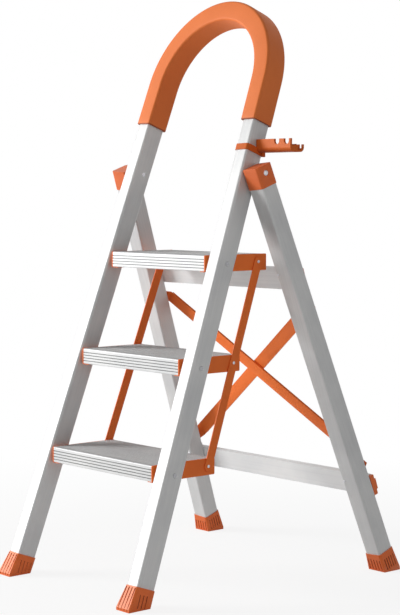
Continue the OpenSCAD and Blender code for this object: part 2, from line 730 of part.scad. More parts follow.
module brace_bar(back) {
    start = brace_flat + brace_ramp + 3;
    rear_plane() translate([-brace_foot_x(), leg_d / 2, brace_foot_v]) rotate([0, -brace_angle, 0])
        difference() {
            union() {
                translate([0, 0, -brace_w / 2]) linear_extrude(brace_w) brace_strip(back);
                for (z = [-brace_w / 2, brace_w / 2 - brace_t])
                    translate([start, back, z]) cube([brace_length - 2 * start, brace_edge, brace_t]);
            }
            for (x = [-brace_bolt_out, brace_length])
                translate([x, -end_cut, 0]) rotate([-90, 0, 0])
                    cylinder(r = brace_bolt_r, h = brace_t + 2 * end_cut);
            translate([brace_mid, back - end_cut, 0]) rotate([-90, 0, 0])
                cylinder(r = brace_bolt_r, h = brace_t + 2 * end_cut);
        }
}

module front_brace_bar() color(orange) on_left() brace_bar(brace_front);

module rear_brace_bar() color(orange) brace_bar(brace_front + brace_step);

// The centre rivet is flush in the forward bar and holds the bars apart
module brace_centre_rivet() {
    front = leg_d / 2 + brace_front;
    depth = brace_step + brace_t;
    height = brace_foot_v + brace_mid * sin(brace_angle);
    color(orange) rear_plane() translate([0, front, height]) {
        rotate([-90, 0, 0]) cylinder(r = brace_bolt_r, h = depth);
        translate([0, brace_t, 0]) rotate([-90, 0, 0])
            cylinder(r = 2 * brace_bolt_r, h = brace_step - brace_t);
        translate([0, depth, 0]) rotate([-90, 0, 0]) domed_head(brace_head_r, 1.8);
    }
}

// Right-hand brace bolts: 0 is the lower one and 1 the upper one
function brace_bolt_x(i) = i == 0 ? brace_foot_x() + brace_bolt_out * cos(brace_angle) : brace_top_x();
function brace_bolt_v(i) = i == 0 ? brace_foot_v - brace_bolt_out * sin(brace_angle) : brace_top_v;

module at_brace_bolts(ends = [0, 1]) {
    for (i = ends) rear_plane() translate([brace_bolt_x(i), 0, brace_bolt_v(i)])
        rotate([-90, 0, 0]) children();
}

brace_head_r = 5.5;
cap_nut_h = 6.5;             // height of the lower bolts' cap nuts below their domes

module brace_bolts() {
    seat = leg_d / 2 + brace_t;
    color(black_steel) both_sides() {
        at_brace_bolts() translate([0, 0, seat - brace_t - brace_bolt_in])
            cylinder(r = brace_bolt_r, h = brace_bolt_in + brace_t);
        at_brace_bolts([1]) translate([0, 0, seat]) domed_head(brace_head_r, 2.4);
        at_brace_bolts([0]) translate([0, 0, seat]) {
            cylinder(r = brace_head_r, h = cap_nut_h / 2, $fn = 6);
            cylinder(r = brace_bolt_r + 1.2, h = cap_nut_h);
            translate([0, 0, cap_nut_h]) domed_head(brace_bolt_r + 1.2, 3);
        }
    }
}

/* Treads. Each tread is an extruded section with a side plate on each end. */

groove_d = 1.2;              // depth and height of the grooves across the front of a tread
groove_w = 1.8;
top_groove_d = 0.7;          // depth and width of the grooves along its top
top_groove_w = 2;
groove_side = 15;            // distance of the outermost top grooves from the tread's edges
edge_r = 3;                  // radii of the tread's upper and lower edges
low_edge_r = 2;
web_t = 1.8;                 // thickness of the webs under the tread
web_lift = 6;                // distance of the webs above the tread's underside

module tread_outline() {
    d = tread_depth;
    h = tread_h;
    w = tread_wall;
    difference() {
        union() {
            translate([edge_r, -h]) square([d - 2 * edge_r, h]);
            translate([0, -h + low_edge_r]) square([d, h - edge_r - low_edge_r]);
            for (y = [edge_r, d - edge_r]) translate([y, -edge_r]) circle(edge_r);
            for (y = [low_edge_r, d - low_edge_r]) translate([y, -h + low_edge_r]) circle(low_edge_r);
            translate([low_edge_r, -h]) square([d - 2 * low_edge_r, h - edge_r]);
        }
        // three open bays underneath, between the webs and the lips
        translate([w, -h + w]) square([d - 2 * w, h - 2 * w]);
        translate([tread_lip, -h - end_cut]) square([d - 2 * tread_lip, w + 2 * end_cut]);
        // grooves across the front face
        for (i = [0:front_grooves - 1])
            translate([-end_cut, -h * (0.26 + 0.72 * i / front_grooves) - groove_w / 2])
                square([end_cut + groove_d, groove_w]);
        // grooves along the top
        for (i = [0:top_grooves - 1])
            translate([groove_side + i * (d - 2 * groove_side) / (top_grooves - 1) - top_groove_w / 2,
                -top_groove_d]) square([top_groove_w, end_cut + top_groove_d]);
    }
    for (y = [1, 2]) translate([d * y / 3 - web_t / 2, -h + web_lift])
        square([web_t, h - web_lift - w / 2]);
}

module tread(i) {
    difference() {
        translate([-tread_half(i), tread_y(i), step_z(i)])
            along_x() linear_extrude(2 * tread_half(i)) tread_outline();
        both_sides() plate_rivet_holes(i);
        if (i == 2) both_sides() hook_rivet_holes();
    }
}

// The top tread's hooks are angle brackets that lie over the upper crossbar
hook_share = 0.64;           // distance of the hooks from the tread's middle, as a share of its half
hook_inset = 6;              // distance of the hooks' upper edges below the standing face
hook_y = tread_y(2) + tread_depth;
hook_x = tread_half(2) * hook_share;
hook_end_y = rear_y - hook_end_v * sin(lean) + hook_end_d * cos(lean);
hook_z = step_z(2) - hook_depth;
hook_top = step_z(2) - hook_inset;
hook_rivet_z = hook_top - 7;

module hook_rivet_holes() {
    for (x = [0.25, 0.75])
        translate([hook_x + hook_w * x, hook_y - 3 * tread_wall, hook_rivet_z]) rotate([-90, 0, 0])
            cylinder(r = rivet_r, h = 3 * tread_wall + hook_t + end_cut);
}

module top_tread_hooks() {
    color(alloy) both_sides() difference() {
        union() {
            translate([hook_x, hook_y, hook_z]) cube([hook_w, hook_t, hook_top - hook_z]);
            translate([hook_x, hook_y, hook_z]) cube([hook_w, hook_end_y - hook_y, hook_t]);
        }
        hook_rivet_holes();
    }
}

module hook_rivets() {
    for (x = [0.25, 0.75])
        translate([hook_x + hook_w * x, hook_y - tread_wall, hook_rivet_z]) rotate([-90, 0, 0]) {
            cylinder(r = rivet_r, h = tread_wall + hook_t);
            mirror([0, 0, 1]) domed_head(rivet_head_r, rivet_head_h);
            translate([0, 0, tread_wall + hook_t]) domed_head(rivet_head_r, rivet_head_h);
        }
}

function plate_rivet_ys(i) = [tread_y(i) + tread_lip * 0.55, tread_y(i) + tread_depth - tread_lip * 0.55];
rivet_side = 9;              // distance of the plate rivets from the tread's end
flange_w = 15;
plate_nose = 0.5;            // how far the side plates stand in front of the treads

module plate_rivet_holes(i) {
    for (y = plate_rivet_ys(i))
        translate([tread_half(i) - rivet_side, y, step_z(i) - plate_h - end_cut])
            cylinder(r = rivet_r, h = plate_h * 0.4);
}

// A side plate covers the tread's end, turns under it and carries the link pin
module side_plates(i, tail) {
    front = tread_y(i) - plate_nose;
    back = pin_y(i) + tail;
    z = step_z(i) - plate_h;
    both_sides() difference() {
        union() {
            translate([tread_half(i), 0, 0]) along_x() linear_extrude(plate_t) union() {
                translate([front, z + edge_r]) square([back - front, plate_h - 2 * edge_r]);
                translate([front + edge_r, z]) square([back - front - 2 * edge_r, plate_h]);
                for (y = [front + edge_r, back - edge_r], s = [z + edge_r, z + plate_h - edge_r])
                    translate([y, s]) circle(edge_r);
            }
            translate([tread_half(i) - flange_w, tread_y(i) + low_edge_r, z])
                cube([flange_w, tread_depth - 2 * low_edge_r, flange_t]);
        }
        translate([tread_half(i) - end_cut, pivot_y(i), pivot_z(i)])
            rod_x(pivot_r + running_gap, plate_t + 2 * end_cut);
        translate([tread_half(i) - end_cut, pin_y(i), pivot_z(i)])
            rod_x(pin_r, plate_t + 2 * end_cut);
        plate_rivet_holes(i);
    }
}

module plate_rivets(i) {
    z = step_z(i) - plate_h;
    both_sides() for (y = plate_rivet_ys(i)) translate([tread_half(i) - rivet_side, y, z]) {
        cylinder(r = rivet_r, h = flange_t + tread_wall);
        mirror([0, 0, 1]) domed_head(rivet_head_r, rivet_head_h);
        translate([0, 0, flange_t + tread_wall]) domed_head(rivet_head_r, rivet_head_h);
    }
}

// The top pins carry the link bars; the other pins turn in clearance holes in the bars
module link_pins(i) {
    shank = plate_t + link_gap + link_t + pin_stand;
    head_r = pin_r + 1.3;
    both_sides() translate([tread_half(i), pin_y(i), pivot_z(i)]) {
        rod_x(pin_r, shank);
        rotate([0, -90, 0]) domed_head(head_r, pin_head_h);
        translate([plate_t, 0, 0]) rod_x(head_r, link_gap - pin_stand);
        translate([shank, 0, 0]) rotate([0, 90, 0]) domed_head(head_r, pin_head_h);
    }
}

module top_tread() color(alloy) tread(2);
module top_side_plates() color(orange) side_plates(2, top_plate_tail);
module top_plate_rivets() {
    color(steel) {
        plate_rivets(2);
        both_sides() hook_rivets();
    }
}
module top_link_pins() color(steel) link_pins(2);
module middle_tread() color(alloy) tread(1);
module middle_side_plates() color(orange) side_plates(1, plate_tail);
module middle_plate_rivets() color(steel) plate_rivets(1);
module middle_link_pins() color(steel) link_pins(1);
module bottom_tread() color(alloy) tread(0);
module bottom_side_plates() color(orange) side_plates(0, plate_tail);
module bottom_plate_rivets() color(steel) plate_rivets(0);
module bottom_link_pins() color(steel) link_pins(0);

// A link bar follows the slope and the taper of the rails, just outside the side plates
link_pitch = step_rise / cos(lean);
link_tilt = atan2(tread_half(1) - tread_half(2), link_pitch);

module link_bar() {
    difference() {
        translate([tread_half(0) + plate_t + link_gap, pin_y(0), pivot_z(0)])
            rotate([-lean, 0, 0]) rotate([0, -link_tilt, 0]) {
                length = 2 * link_pitch / cos(link_tilt);
                translate([0, -link_w / 2, 0]) cube([link_t, link_w, length]);
                for (z = [0, length]) translate([0, 0, z]) rod_x(link_w / 2, link_t);
            }
        for (i = [0:2]) translate([tread_half(i), pin_y(i), pivot_z(i)])
            rod_x(pin_r + pin_gap, plate_t + link_gap + 4 * link_t);
    }
}

module right_link_bar() color(orange) link_bar();

module left_link_bar() color(orange) on_left() link_bar();

left_rail();
right_rail();
handle_bend();
handle_grip();
left_front_foot();
right_front_foot();
tread_pivot_bolts();
tread_pivot_nuts();
tread_pivot_spacers();
hinge_pins();
hinge_washers();
tool_rack();
rack_clamp_screw();
left_leg();
right_leg();
left_rear_foot();
right_rear_foot();
left_hinge_cap();
right_hinge_cap();
upper_crossbar();
lower_crossbar();
upper_crossbar_caps();
lower_crossbar_caps();
crossbar_rivets();
front_brace_bar();
rear_brace_bar();
brace_centre_rivet();
brace_bolts();
top_tread();
top_tread_hooks();
top_side_plates();
top_plate_rivets();
top_link_pins();
middle_tread();
middle_side_plates();
middle_plate_rivets();
middle_link_pins();
bottom_tread();
bottom_side_plates();
bottom_plate_rivets();
bottom_link_pins();
left_link_bar();
right_link_bar();
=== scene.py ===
"""Looks of the folding step ladder: its finishes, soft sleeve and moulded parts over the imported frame."""

import json
import math

import bmesh
import bpy
from mathutils import Matrix, Vector


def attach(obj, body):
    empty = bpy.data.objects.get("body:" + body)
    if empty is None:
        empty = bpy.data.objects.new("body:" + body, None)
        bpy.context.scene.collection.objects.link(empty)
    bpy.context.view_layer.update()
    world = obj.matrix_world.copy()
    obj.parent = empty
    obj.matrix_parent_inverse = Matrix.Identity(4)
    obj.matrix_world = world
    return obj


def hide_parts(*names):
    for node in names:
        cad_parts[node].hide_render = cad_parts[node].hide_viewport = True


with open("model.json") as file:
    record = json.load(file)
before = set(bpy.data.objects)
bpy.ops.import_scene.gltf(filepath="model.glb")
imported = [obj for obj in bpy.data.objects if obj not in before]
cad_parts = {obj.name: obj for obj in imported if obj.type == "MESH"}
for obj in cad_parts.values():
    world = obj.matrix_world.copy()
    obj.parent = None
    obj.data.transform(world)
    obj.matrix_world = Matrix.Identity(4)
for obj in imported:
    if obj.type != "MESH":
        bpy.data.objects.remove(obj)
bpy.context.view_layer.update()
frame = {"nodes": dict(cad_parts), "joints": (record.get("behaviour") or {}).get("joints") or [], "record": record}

# The ladder's own sizes, in metres
LEAN = math.radians(20)
RAIL_TAPER = math.radians(1.8)
RAIL_FOOT_X = 0.2075
RAIL_WIDE = 0.036
RAIL_DEEP = 0.046
HINGE_BEHIND = 0.026
TOP_STEP = 0.700
STEP_RISE = 0.212
GROOVE_START = 0.00794
GROOVE_PITCH = 0.00612
GROOVE_WIDE = 0.0018
GROOVE_REACH = 3.5
FLUTE_FACET = 0.001
OVERALL_HEIGHT = 1.253
SLEEVE_WALL = 0.0042
SLEEVE_CORNER = 0.0055
SLEEVE_REACH = 0.0958
SLEEVE_START = 1.0477
SLEEVE_RIM = 0.0018
SLEEVE_ROUNDING = 0.0012
SLEEVE_INSET = 0.0001
MOULD_EDGE = 0.0007
CAP_EDGE = 0.0008
SHEET_EDGE = 0.0005

# How the meshes are cut: rows along the sleeve, and what counts as one point, one flat face or a hollow
CORNER_CUTS = 8
STRAIGHT_ROWS = 6
BEND_ROWS = 64
WELD = 0.000004
RING_WELD = 0.00001
FLAT = math.radians(0.6)
HOLLOW = 0.1
EDGE_CUTS = 2

# The studio
FLOOR_RADIUS = 14
FLOOR_SIDES = 96
SHADOW_RADIUS = 0.5
WHITE_RADIUS = 1.6
FLOOR_PALE = 0.86
WORLD_LEVEL = 0.26
KEY = {"place": (-2.8, -2.4, 1.5), "target": (0, 0, 0.65), "size": (1.6, 2.0), "power": 134}
FILL = {"place": (1.7, -0.3, 1.0), "target": (0.2, 0, 0.7), "size": (0.9, 1.2), "power": 1.8}
CAMERA_PLACE = (2.7621, -2.3575, 0.8287)
CAMERA_TURN = (86.067, 0, 49.08)
SENSOR_WIDTH = 36
FOCAL_LENGTH = 149.38
FARTHEST_SEEN = 60

HINGE = next(joint for joint in frame["joints"] if joint["name"] == "rear_fold")["pos_m"]
FRONT_Y = HINGE[1] - HINGE_BEHIND / math.cos(LEAN) - HINGE[2] * math.tan(LEAN)


# ---------------------------------------------------------------- finishes

class Tap:
    """One output in a finish. Arithmetic on it adds Math nodes to that finish."""

    def __init__(self, finish, socket):
        self.finish = finish
        self.socket = socket

    def __add__(self, other):
        return self.finish.maths("ADD", self, other)

    def __radd__(self, other):
        return self.finish.maths("ADD", other, self)

    def __sub__(self, other):
        return self.finish.maths("SUBTRACT", self, other)

    def __rsub__(self, other):
        return self.finish.maths("SUBTRACT", other, self)

    def __mul__(self, other):
        return self.finish.maths("MULTIPLY", self, other)

    def __rmul__(self, other):
        return self.finish.maths("MULTIPLY", other, self)

    def __gt__(self, other):
        return self.finish.maths("GREATER_THAN", self, other)

    def __lt__(self, other):
        return self.finish.maths("LESS_THAN", self, other)

    def __mod__(self, other):
        return self.finish.maths("MODULO", self, other)


class Finish:
    """A material under construction, with one Principled surface."""

    def __init__(self, name):
        self.material = bpy.data.materials.new(name)
        self.material.use_nodes = True
        self.tree = self.material.node_tree
        self.surface = self.tree.nodes["Principled BSDF"]
        self.cast = self.node("ShaderNodeTexCoord")

    def node(self, kind, inputs=(), **settings):
        made = self.tree.nodes.new(kind)
        for key, value in settings.items():
            setattr(made, key, value)
        for key, value in dict(inputs).items():
            self.feed(made.inputs[key], value)
        return made

    def feed(self, socket, value):
        if isinstance(value, Tap):
            self.tree.links.new(value.socket, socket)
        else:
            socket.default_value = value

    def maths(self, operation, first, second):
        return Tap(self, self.node("ShaderNodeMath", {0: first, 1: second}, operation=operation).outputs[0])

    def place(self, turn=(0, 0, 0), grain=(1, 1, 1)):
        """Object coordinates turned into a part's own frame, with grain cycles a metre along each axis."""
        size = tuple(1 / cycles for cycles in grain)
        mapping = self.node("ShaderNodeMapping", {
            "Vector": Tap(self, self.cast.outputs["Object"]), "Rotation": turn, "Scale": size},
            vector_type="TEXTURE")
        return Tap(self, mapping.outputs[0])

    def noise(self, place, detail=2.0, rough=0.5):
        made = self.node("ShaderNodeTexNoise", {
            "Vector": place, "Scale": 1.0, "Detail": detail, "Roughness": rough})
        return Tap(self, made.outputs["Fac"])

    def cells(self, place):
        made = self.node("ShaderNodeTexVoronoi", {"Vector": place, "Scale": 1.0}, feature="F1")
        return Tap(self, made.outputs["Distance"])

    def marks(self, name):
        """A value that the mesh itself carries, 0 where it has none."""
        return Tap(self, self.node("ShaderNodeAttribute", attribute_name=name).outputs["Fac"])

    def part(self, place, axis):
        return Tap(self, self.node("ShaderNodeSeparateXYZ", {0: place}).outputs[axis])

    def facing(self, axis):
        """How far the surface faces along one of the object's own axes."""
        return self.part(Tap(self, self.cast.outputs["Normal"]), axis)

    def span(self, value, low, high, out_low=0.0, out_high=1.0):
        made = self.node("ShaderNodeMapRange", {
            "Value": value, "From Min": low, "From Max": high, "To Min": out_low, "To Max": out_high},
            clamp=True)
        return Tap(self, made.outputs[0])

    def blend(self, amount, first, second):
        made = self.node("ShaderNodeMix", data_type="RGBA", blend_type="MIX")
        self.feed(made.inputs["Factor"], amount)
        for slot, colour in ((6, first), (7, second)):
            self.feed(made.inputs[slot], colour if isinstance(colour, Tap) else tuple(colour) + (1.0,))
        return Tap(self, made.outputs[2])

    def relief(self, height, depth, under=None):
        inputs = {"Height": height, "Distance": depth, "Strength": 1.0}
        if under is not None:
            inputs["Normal"] = under
        return Tap(self, self.node("ShaderNodeBump", inputs).outputs[0])

    def set(self, **values):
        for key, value in values.items():
            name = key.replace("_", " ").title().replace("Ior", "IOR")
            if name == "Base Color" and not isinstance(value, Tap):
                value = tuple(value) + (1.0,)
            self.feed(self.surface.inputs[name], value)
        return self.material


def shade(red, green, blue):
    """A colour written as it looks, above 10 and up to 255, as the linear value that a surface takes."""
    return tuple(((part / 255 + 0.055) / 1.055) ** 2.4 for part in (red, green, blue))


def satin_alloy(name, turn, run, tone=208):
    """Anodised extrusion: fine die lines along its run, soft clouds and a few handling marks."""
    finish = Finish(name)
    fine = {"z": (1500, 1500, 5), "x": (5, 1500, 1500)}[run]
    broad = {"z": (260, 260, 2), "x": (2, 260, 260)}[run]
    lines = finish.noise(finish.place(turn, fine), 3.0)
    bands = finish.noise(finish.place(turn, broad), 2.0)
    clouds = finish.noise(finish.place(turn, (7, 7, 7)), 3.0)
    marks = finish.span(finish.noise(finish.place(turn, (90, 90, 22)), 5.0, 0.7), 0.66, 0.78)
    light = shade(tone + 6, tone + 6, tone + 5)
    dull = shade(tone - 14, tone - 13, tone - 12)
    worn = shade(tone - 34, tone - 34, tone - 32)
    colour = finish.blend(finish.span(clouds + bands * 0.35, 0.5, 0.95), light, dull)
    colour = finish.blend(marks * 0.35, colour, worn)
    return finish.set(
        base_color=colour, metallic=0.15,
        roughness=0.34 + lines * 0.10 + clouds * 0.08 + marks * 0.12,
        normal=finish.relief(lines + bands, 0.00003))


def ribbed_alloy():
    """Tread extrusion: die lines across the ladder, grip ribs on top and painted shade in the grooves down the
    front.
    """
    finish = Finish("tread_alloy")
    depth = (TOP_STEP - finish.part(finish.place(), 2)) % STEP_RISE
    # painted shade: a mask of dark stripes on the front faces where the grooves run
    cycle = ((depth - GROOVE_START) % GROOVE_PITCH) < GROOVE_WIDE
    groove_shade = cycle * (depth > GROOVE_START) * (depth < GROOVE_START + GROOVE_REACH * GROOVE_PITCH)
    groove_shade = groove_shade * (finish.facing(1) < -0.35)
    lines = finish.noise(finish.place((0, 0, 0), (5, 1500, 1500)), 3.0)
    clouds = finish.noise(finish.place((0, 0, 0), (8, 8, 8)), 3.0)
    grit = finish.noise(finish.place((0, 0, 0), (700, 700, 700)), 2.0)
    scuffs = finish.span(finish.noise(finish.place((0, 0, 0.5), (14, 90, 60)), 5.0, 0.7), 0.58, 0.80)
    top = finish.facing(2) > 0.6
    ribs = finish.maths("PINGPONG", finish.part(finish.place((0, 0, 0), (1, 520, 1)), 1), 1.0)
    light = shade(232, 232, 231)
    dull = shade(216, 217, 218)
    colour = finish.blend(finish.span(clouds, 0.35, 0.75), light, dull)
    # painted shade: upward faces are made darker as the grip ribs shade them, and darker still where scuffs of
    # wear fall
    colour = finish.blend(top * (0.5 + scuffs * 0.4), colour, shade(140, 141, 142))
    # painted shade laid into the front grooves
    colour = finish.blend(groove_shade * 0.9, colour, shade(104, 105, 106))
    return finish.set(
        base_color=colour, metallic=0.08 - top * 0.08, specular_ior_level=0.15,
        roughness=0.30 + lines * 0.10 + top * (0.25 + scuffs * 0.18),
        normal=finish.relief(ribs * top, 0.0002, finish.relief(lines + grit * top * 0.5, 0.00004)))


def powder_coat(name, light, dull):
    """Orange powder coat on folded sheet, with a slight orange-peel skin."""
    finish = Finish(name)
    peel = finish.noise(finish.place((0, 0, 0), (420, 420, 420)), 2.0)
    clouds = finish.noise(finish.place((0, 0, 0), (11, 11, 11)), 3.0)
    specks = finish.span(finish.noise(finish.place((0, 0, 0), (240, 240, 240)), 4.0, 0.7), 0.70, 0.80)
    colour = finish.blend(finish.span(clouds, 0.3, 0.75), light, dull)
    colour = finish.blend(specks * 0.35, colour, shade(196, 92, 40))
    return finish.set(
        base_color=colour, metallic=0.0, specular_ior_level=0.14,
        roughness=0.38 + peel * 0.10, normal=finish.relief(peel, 0.00006))


def moulded_orange(name, light, dull, gloss):
    """Orange moulding: fine spark-eroded grain, paler where it is rubbed, with painted shade on downward faces and
    on the flute walls.
    """
    finish = Finish(name)
    grain = finish.noise(finish.place((0, 0, 0), (1100, 1100, 1100)), 3.0)
    flow = finish.noise(finish.place((0.3, 0.2, 0), (16, 16, 42)), 3.0)
    rubbed = finish.span(finish.noise(finish.place((0, 0, 0), (60, 60, 60)), 5.0, 0.7), 0.62, 0.80)
    colour = finish.blend(finish.span(flow, 0.3, 0.75), light, dull)
    colour = finish.blend(rubbed * 0.25, colour, shade(244, 150, 92))
    # painted shade: faces turned downward are made darker
    colour = finish.blend(finish.span(finish.facing(2), -0.1, -0.8, 0.0, 0.6), colour, shade(128, 52, 28))
    # painted shade: the flute walls marked on the mesh are made dark, most where they turn sideways
    across = finish.facing(0) * finish.facing(0)
    flute_painted_shade = finish.marks("flute") * finish.span(across, 0.4, 0.7, 0.95, 0.1)
    colour = finish.blend(flute_painted_shade, colour, shade(96, 34, 16))
    return finish.set(
        base_color=colour, metallic=0.0, specular_ior_level=gloss,
        specular_tint=(1.0, 0.76, 0.58, 1.0),
        roughness=0.38 + grain * 0.12 + rubbed * 0.06, normal=finish.relief(grain, 0.00005))


def foam_sleeve():
    """Soft orange sleeve: closed-cell foam with a smooth skin and tiny pores."""
    finish = Finish("orange_foam_sleeve")
    pores = finish.cells(finish.place((0, 0, 0), (650, 650, 650)))
    skin = finish.noise(finish.place((0, 0, 0), (180, 180, 180)), 3.0)
    clouds = finish.noise(finish.place((0, 0, 0), (9, 9, 9)), 3.0)
    colour = finish.blend(finish.span(clouds, 0.3, 0.75), shade(240, 128, 62), shade(231, 120, 56))
    along = finish.part(finish.place((-LEAN, 0, 0)), 2) - FRONT_Y * math.sin(LEAN)
    colour = finish.blend((along < SLEEVE_START + SLEEVE_RIM) * 0.7, colour, shade(120, 50, 28))
    colour = finish.blend(finish.span(pores, 0.0, 0.35, 0.35, 0.0), colour, shade(192, 90, 44))
    return finish.set(
        base_color=colour, metallic=0.0, specular_ior_level=0.3,
        roughness=0.52 + skin * 0.12,
        normal=finish.relief(pores, 0.00006, finish.relief(skin, 0.0001)))


def bright_zinc(name, tone, metallic=0.75):
    """Plated steel of the small fasteners, with fine turning lines and dull spots."""
    finish = Finish(name)
    turning = finish.noise(finish.place((0, 0, 0), (2600, 500, 500)), 2.0)
    spots = finish.noise(finish.place((0, 0, 0), (420, 420, 420)), 4.0, 0.6)
    light = shade(tone, tone, tone + 3)
    dull = shade(tone - 34, tone - 34, tone - 28)
    colour = finish.blend(finish.span(spots, 0.35, 0.7), light, dull)
    return finish.set(
        base_color=colour, metallic=metallic, roughness=0.28 + spots * 0.22,
        normal=finish.relief(turning, 0.00002))


def black_nylon():
    """Black moulded nylon of the washers and spacers."""
    finish = Finish("black_nylon")
    grain = finish.noise(finish.place((0, 0, 0), (1400, 1400, 1400)), 2.0)
    haze = finish.noise(finish.place((0, 0, 0), (120, 120, 120)), 3.0)
    colour = finish.blend(finish.span(haze, 0.35, 0.7), shade(34, 34, 36), shade(58, 58, 60))
    return finish.set(
        base_color=colour, metallic=0.0, roughness=0.45 + grain * 0.15, normal=finish.relief(grain, 0.00003))


rail_alloy = satin_alloy("rail_alloy", (-LEAN, 0, 0), "z")
leg_alloy = satin_alloy("leg_alloy", (LEAN, 0, 0), "z", 206)
crossbar_alloy = satin_alloy("crossbar_alloy", (LEAN, 0, 0), "x", 230)
bracket_alloy = satin_alloy("bracket_alloy", (0, 0, 0), "x", 202)
tread_alloy = ribbed_alloy()
coated = powder_coat("orange_powder_coat", shade(250, 126, 58), shade(240, 117, 54))
moulded = moulded_orange("orange_moulding", shade(238, 113, 50), shade(227, 104, 45), 0.55)
rack_moulded = moulded_orange("rack_moulding", shade(222, 110, 46), shade(210, 100, 41), 0.15)
foam = foam_sleeve()
zinc = bright_zinc("bright_zinc", 214)
dull_zinc = bright_zinc("dull_zinc", 200, 0.3)
white_zinc = bright_zinc("white_zinc", 250, 0.2)
blackened = bright_zinc("blackened_steel", 74)
nylon = black_nylon()

NODE_FINISH = {
    "left_rail": rail_alloy, "right_rail": rail_alloy, "handle_bend": rail_alloy,
    "handle_grip": foam,
    "left_leg": leg_alloy, "right_leg": leg_alloy,
    "upper_crossbar": crossbar_alloy, "lower_crossbar": crossbar_alloy,
    "top_tread_hooks": bracket_alloy,
    "top_tread": tread_alloy, "middle_tread": tread_alloy, "bottom_tread": tread_alloy,
    "front_brace_bar": coated, "rear_brace_bar": coated, "brace_centre_rivet": coated,
    "left_link_bar": coated, "right_link_bar": coated,
    "top_side_plates": coated, "middle_side_plates": coated, "bottom_side_plates": coated,
    "left_front_foot": moulded, "right_front_foot": moulded,
    "left_rear_foot": moulded, "right_rear_foot": moulded,
    "left_hinge_cap": moulded, "right_hinge_cap": moulded,
    "upper_crossbar_caps": moulded, "lower_crossbar_caps": moulded,
    "tool_rack": rack_moulded, "rack_clamp_screw": rack_moulded,
    "tread_pivot_spacers": nylon, "hinge_washers": nylon,
    "brace_bolts": blackened, "tread_pivot_bolts": dull_zinc,
    "crossbar_rivets": white_zinc,
}

for node, solid in frame["nodes"].items():
    solid.data.materials.clear()
    solid.data.materials.append(NODE_FINISH.get(node, zinc))


# ---------------------------------------------------------------- pieces

def body_of(node):
    bodies = frame["record"]["behaviour"]["bodies"]
    return next(body for body, nodes in bodies.items() if node in nodes)


def as_piece(name, mesh, node, finish):
    """Puts a finished mesh in the scene in place of a CAD node."""
    piece = bpy.data.objects.new(name, mesh)
    bpy.context.scene.collection.objects.link(piece)
    mesh.materials.clear()
    mesh.materials.append(finish)
    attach(piece, body_of(node))
    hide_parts(node)
    return piece


def round_edges(piece, radius, angle, segments):
    bevel = piece.modifiers.new("rounded_edges", "BEVEL")
    bevel.width = radius
    bevel.segments = segments
    bevel.limit_method = "ANGLE"
    bevel.angle_limit = math.radians(angle)
    bevel.miter_outer = "MITER_ARC"
    bevel.use_clamp_overlap = True


def softened(node, radius, angle=40, facet=0.0):
    """The node's own shape with its edges rounded over, as a moulding or a folded sheet has them.

    Hollow faces narrower than facet are marked as the walls of flutes, where the moulding paints shade.
    """
    mesh = bpy.data.meshes.new(node + "_finished")
    work = bmesh.new()
    work.from_mesh(frame["nodes"][node].data)
    bmesh.ops.remove_doubles(work, verts=work.verts, dist=WELD)
    bmesh.ops.dissolve_limit(work, angle_limit=FLAT, verts=work.verts, edges=work.edges)
    flute = work.faces.layers.float.new("flute")
    for face in work.faces:
        face.smooth = True
        narrow = face.calc_area() < facet * max(edge.calc_length() for edge in face.edges)
        hollow = any(edge.is_manifold and edge.calc_face_angle_signed() < -HOLLOW for edge in face.edges)
        face[flute] = float(narrow and hollow)
    work.to_mesh(mesh)
    work.free()
    piece = as_piece(node + "_finished", mesh, node, NODE_FINISH[node])
    mesh.set_sharp_from_angle(angle=math.radians(angle))
    round_edges(piece, radius, angle, EDGE_CUTS)
    return piece


